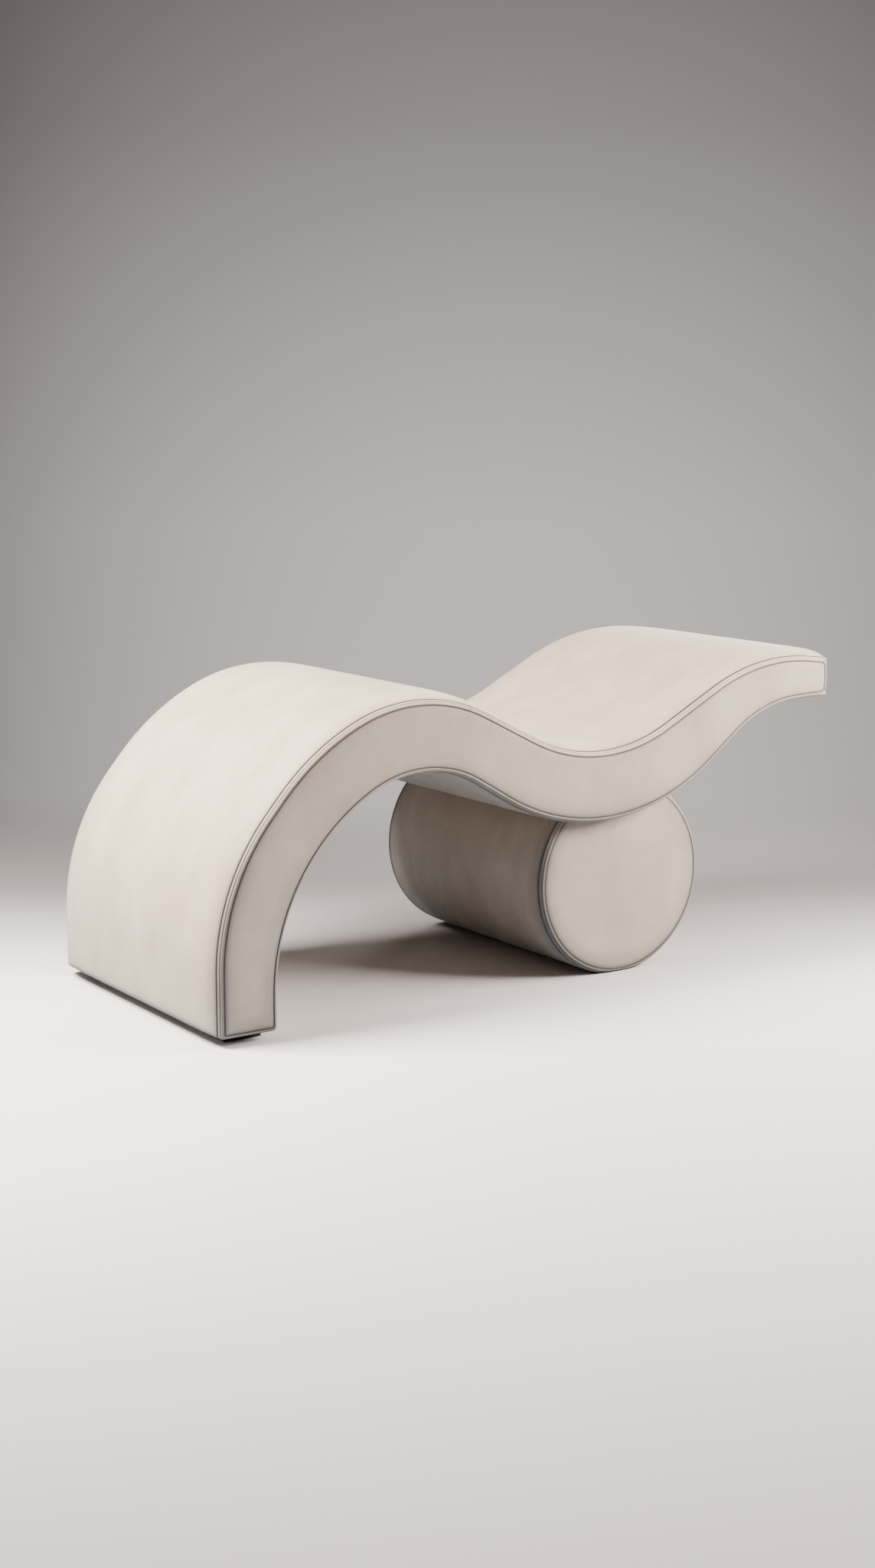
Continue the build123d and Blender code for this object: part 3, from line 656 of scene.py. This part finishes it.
# Stitches: a lockstitch in dark thread along both sides of every seam, sunk in its row.
# Each row follows the sewn edge, one small stitch repeated along it.
thread, tree, shader = new_finish("thread", 0.7)
twist = pattern(tree, "ShaderNodeTexNoise", Scale=1500, Detail=2)
tint = [(0.3, (0.026, 0.022, 0.020)), (0.7, (0.055, 0.047, 0.042))]
colour = ramp(tree, twist.outputs["Fac"], tint)
tree.links.new(colour.outputs["Color"], shader.inputs["Base Color"])
bump(tree, shader, twist.outputs["Fac"], 0.0002, 0.5)
stitch_pitch, stitch_length, stitch_radius = 0.0052, 0.0038, 0.0011
stitch_shoulder, stitch_taper = 0.28, 0.4


def stitch_along(row, name):
    """Turns a row's line into stitches."""
    settle(row)
    bpy.ops.object.convert(target="CURVE")
    row = bpy.context.object
    bpy.ops.object.select_all(action="DESELECT")
    bpy.ops.mesh.primitive_cylinder_add(
        vertices=6, radius=stitch_radius, depth=stitch_length,
        location=(stitch_pitch / 2, 0, 0), rotation=(0, math.radians(90), 0))
    stitch = bpy.context.object
    stitch.name = name
    bpy.ops.object.transform_apply(location=True, rotation=True, scale=True)
    bpy.ops.object.mode_set(mode="EDIT")
    for share in (-stitch_shoulder, stitch_shoulder):
        bpy.ops.mesh.select_all(action="SELECT")
        bpy.ops.mesh.bisect(plane_co=(stitch_pitch / 2 + share * stitch_length, 0, 0),
                            plane_no=(1, 0, 0))
    choose(stitch, lambda spot: abs(spot.x - stitch_pitch / 2) > 0.49 * stitch_length)
    bpy.ops.transform.resize(value=(1, stitch_taper, stitch_taper), center_override=(0, 0, 0))
    settle(stitch)
    modifier(stitch, "ARRAY", fit_type="FIT_CURVE", curve=row, use_relative_offset=False,
             use_constant_offset=True, constant_offset_displace=(stitch_pitch, 0, 0))
    modifier(stitch, "CURVE", object=row, deform_axis="POS_X")
    bpy.data.objects.remove(row)
    stitch.data.materials.append(thread)
    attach(stitch, "root")


for row in stitch_rows:
    name = row.name
    row.name = name + "_line"
    stitch_along(row, name)


def arc_row(name, y, radius, way):
    """A line on one side of the drum, from its flat base up to the saddle."""
    row = begin(name)
    draw([(drum_x, y, drum_z - radius)])
    lowest = math.acos(min(1, (drum_z - drum_base) / radius)) + 0.02
    highest = math.radians(110)
    bpy.ops.mesh.select_all(action="SELECT")
    middle = drum_x, 0, drum_z
    bpy.ops.transform.rotate(value=way * lowest, orient_axis="Y", center_override=middle)
    bpy.ops.mesh.spin(steps=48, angle=way * (highest - lowest), center=middle, axis=(0, 1, 0))
    return row


for end, y_way in (("near", -1), ("far", 1)):
    for side, turn_way in (("front", -1), ("back", 1)):
        for panel, inset, depth in (("wrap", 0.0124, 0.0030), ("end", 0.0015, 0.0128)):
            name = f"drum_{panel}_stitches_{end}_{side}"
            y, radius = y_way * (drum_half - inset), drum_radius - depth
            stitch_along(arc_row(name + "_line", y, radius, turn_way), name)


# Camera: at the photograph's place, in front of the foot and to the side, a little above the
# bed's top, and turned towards the drum.
camera_turn = math.radians(33.81)
bpy.ops.object.camera_add(location=(-3.1792, -4.6710, 1.4373),
                          rotation=(math.radians(80.09), 0, -camera_turn))
camera = bpy.context.object
camera.name = "camera"
camera.data.lens = 52.13
camera.data.sensor_width = 36
bpy.context.scene.camera = camera


# Studio: a pale floor that fades into a grey backdrop behind the bed, and five soft lights. The
# floor looks whiter to the camera than to the light that it throws back under the bed.
bpy.ops.object.select_all(action="DESELECT")
bpy.ops.mesh.primitive_plane_add(size=24)
floor = bpy.context.object
floor.name = "floor"
pale, tree, shader = new_finish("studio_floor", 0.75)
shader.inputs["Specular IOR Level"].default_value = 0.2
place = tree.nodes.new("ShaderNodeTexCoord")
turn = tree.nodes.new("ShaderNodeMapping")
turn.inputs["Rotation"].default_value = (0, 0, camera_turn)
apart = tree.nodes.new("ShaderNodeSeparateXYZ")
tree.links.new(place.outputs["Object"], turn.inputs["Vector"])
tree.links.new(turn.outputs["Vector"], apart.inputs["Vector"])
away = tree.nodes.new("ShaderNodeVectorMath")
away.operation = "LENGTH"
tree.links.new(place.outputs["Object"], away.inputs[0])


def soft_step(measure, start, end):
    """Goes softly from 0 where measure is start to 1 where it is end."""
    step = tree.nodes.new("ShaderNodeMapRange")
    step.interpolation_type = "SMOOTHSTEP"
    step.inputs["From Min"].default_value, step.inputs["From Max"].default_value = start, end
    tree.links.new(measure, step.inputs["Value"])
    return step.outputs["Result"]


def mix_colours(factor, first, second):
    """Goes from the first colour to the second by factor."""
    node = tree.nodes.new("ShaderNodeMix")
    node.data_type = "RGBA"
    tree.links.new(factor, node.inputs["Factor"])
    for socket, colour in (("A", first), ("B", second)):
        if isinstance(colour, tuple):
            node.inputs[socket].default_value = (*colour, 1)
        else:
            tree.links.new(colour, node.inputs[socket])
    return node.outputs["Result"]


ray = tree.nodes.new("ShaderNodeLightPath")
# To the camera the floor is painted pale near the bed and grey behind it: painted fall-off of light
near_floor, far_floor, bounce = (0.93, 0.86, 0.865), (0.22, 0.205, 0.205), (0.195, 0.235, 0.295)
seen_floor = mix_colours(soft_step(apart.outputs["Y"], -0.5, 0.95), near_floor, far_floor)
colour = mix_colours(ray.outputs["Is Camera Ray"], bounce, seen_floor)
tree.links.new(colour, shader.inputs["Base Color"])
clear = tree.nodes.new("ShaderNodeBsdfTransparent")
both = tree.nodes.new("ShaderNodeMixShader")
fade = tree.nodes.new("ShaderNodeMath")
fade.operation = "MAXIMUM"
tree.links.new(soft_step(apart.outputs["Y"], 0.8, 2.4), fade.inputs[0])
tree.links.new(soft_step(away.outputs["Value"], 3.2, 6.5), fade.inputs[1])
tree.links.new(fade.outputs["Value"], both.inputs["Fac"])
tree.links.new(shader.outputs["BSDF"], both.inputs[1])
tree.links.new(clear.outputs["BSDF"], both.inputs[2])
tree.links.new(both.outputs["Shader"], tree.nodes["Material Output"].inputs["Surface"])
floor.data.materials.append(pale)

world = bpy.data.worlds.new("studio")
bpy.context.scene.world = world
world.use_nodes = True
tree = world.node_tree
room = tree.nodes["Background"]
room.inputs["Color"].default_value = (0.90, 0.94, 1.0, 1)
room.inputs["Strength"].default_value = 0.004
# To the camera the backdrop is painted with the light on it: lighter low and in the middle, darker
# upwards and to the sides, as painted light and shade
wall = tree.nodes.new("ShaderNodeBackground")
place = tree.nodes.new("ShaderNodeTexCoord")
turn = tree.nodes.new("ShaderNodeMapping")
turn.inputs["Rotation"].default_value = (0, 0, camera_turn)
apart = tree.nodes.new("ShaderNodeSeparateXYZ")
height = tree.nodes.new("ShaderNodeMapRange")
height.inputs["From Min"].default_value, height.inputs["From Max"].default_value = -0.25, 0.20
tree.links.new(place.outputs["Generated"], turn.inputs["Vector"])
tree.links.new(turn.outputs["Vector"], apart.inputs["Vector"])
tree.links.new(apart.outputs["Z"], height.inputs["Value"])
greys = [(0.18, 0.70), (0.42, 0.65), (0.60, 0.485), (0.80, 0.295), (1.0, 0.18)]
tint = mathutils.Vector((1.075, 0.965, 0.958))
sky = ramp(tree, height.outputs["Result"], [(spot, tint * grey) for spot, grey in greys])
aside = tree.nodes.new("ShaderNodeMath")
aside.operation = "SUBTRACT"
aside.inputs[1].default_value = 0.03
tree.links.new(apart.outputs["X"], aside.inputs[0])
square = tree.nodes.new("ShaderNodeMath")
square.operation = "MULTIPLY"
tree.links.new(aside.outputs["Value"], square.inputs[0])
tree.links.new(aside.outputs["Value"], square.inputs[1])
sides = tree.nodes.new("ShaderNodeMapRange")
sides.inputs["From Min"].default_value, sides.inputs["From Max"].default_value = 0.0, 0.05
sides.inputs["To Min"].default_value, sides.inputs["To Max"].default_value = 1.0, 0.48
tree.links.new(square.outputs["Value"], sides.inputs["Value"])
tree.links.new(sky.outputs["Color"], wall.inputs["Color"])
tree.links.new(sides.outputs["Result"], wall.inputs["Strength"])
seen = tree.nodes.new("ShaderNodeLightPath")
either = tree.nodes.new("ShaderNodeMixShader")
tree.links.new(seen.outputs["Is Camera Ray"], either.inputs["Fac"])
tree.links.new(room.outputs["Background"], either.inputs[1])
tree.links.new(wall.outputs["Background"], either.inputs[2])
tree.links.new(either.outputs["Shader"], tree.nodes["World Output"].inputs["Surface"])

for name, spot, aim, power in (
    ("foot_light", (-2.0, 0.3, 2.3), (-0.7, 0, 0.3), 345),
    ("side_light", (2.0, -2.2, 1.8), (0.8, -0.3, 0.5), 182),
    ("head_light", (2.6, -1.2, 1.5), (0.8, -0.3, 0.4), 88),
    ("top_light", (1.2, -0.6, 2.4), (0.9, -0.5, 0), 26),
    ("back_light", (2.9, 2.4, 1.1), (0.2, 0.4, 0.4), 45),
):
    bpy.ops.object.light_add(type="AREA", location=spot)
    light = bpy.context.object
    light.name = name
    way = mathutils.Vector(aim) - mathutils.Vector(spot)
    light.rotation_euler = way.to_track_quat("-Z", "Y").to_euler()
    light.data.size = 1.2
    light.data.energy = power
    light.data.color = (1, 0.93, 0.86)
    light.visible_camera = False
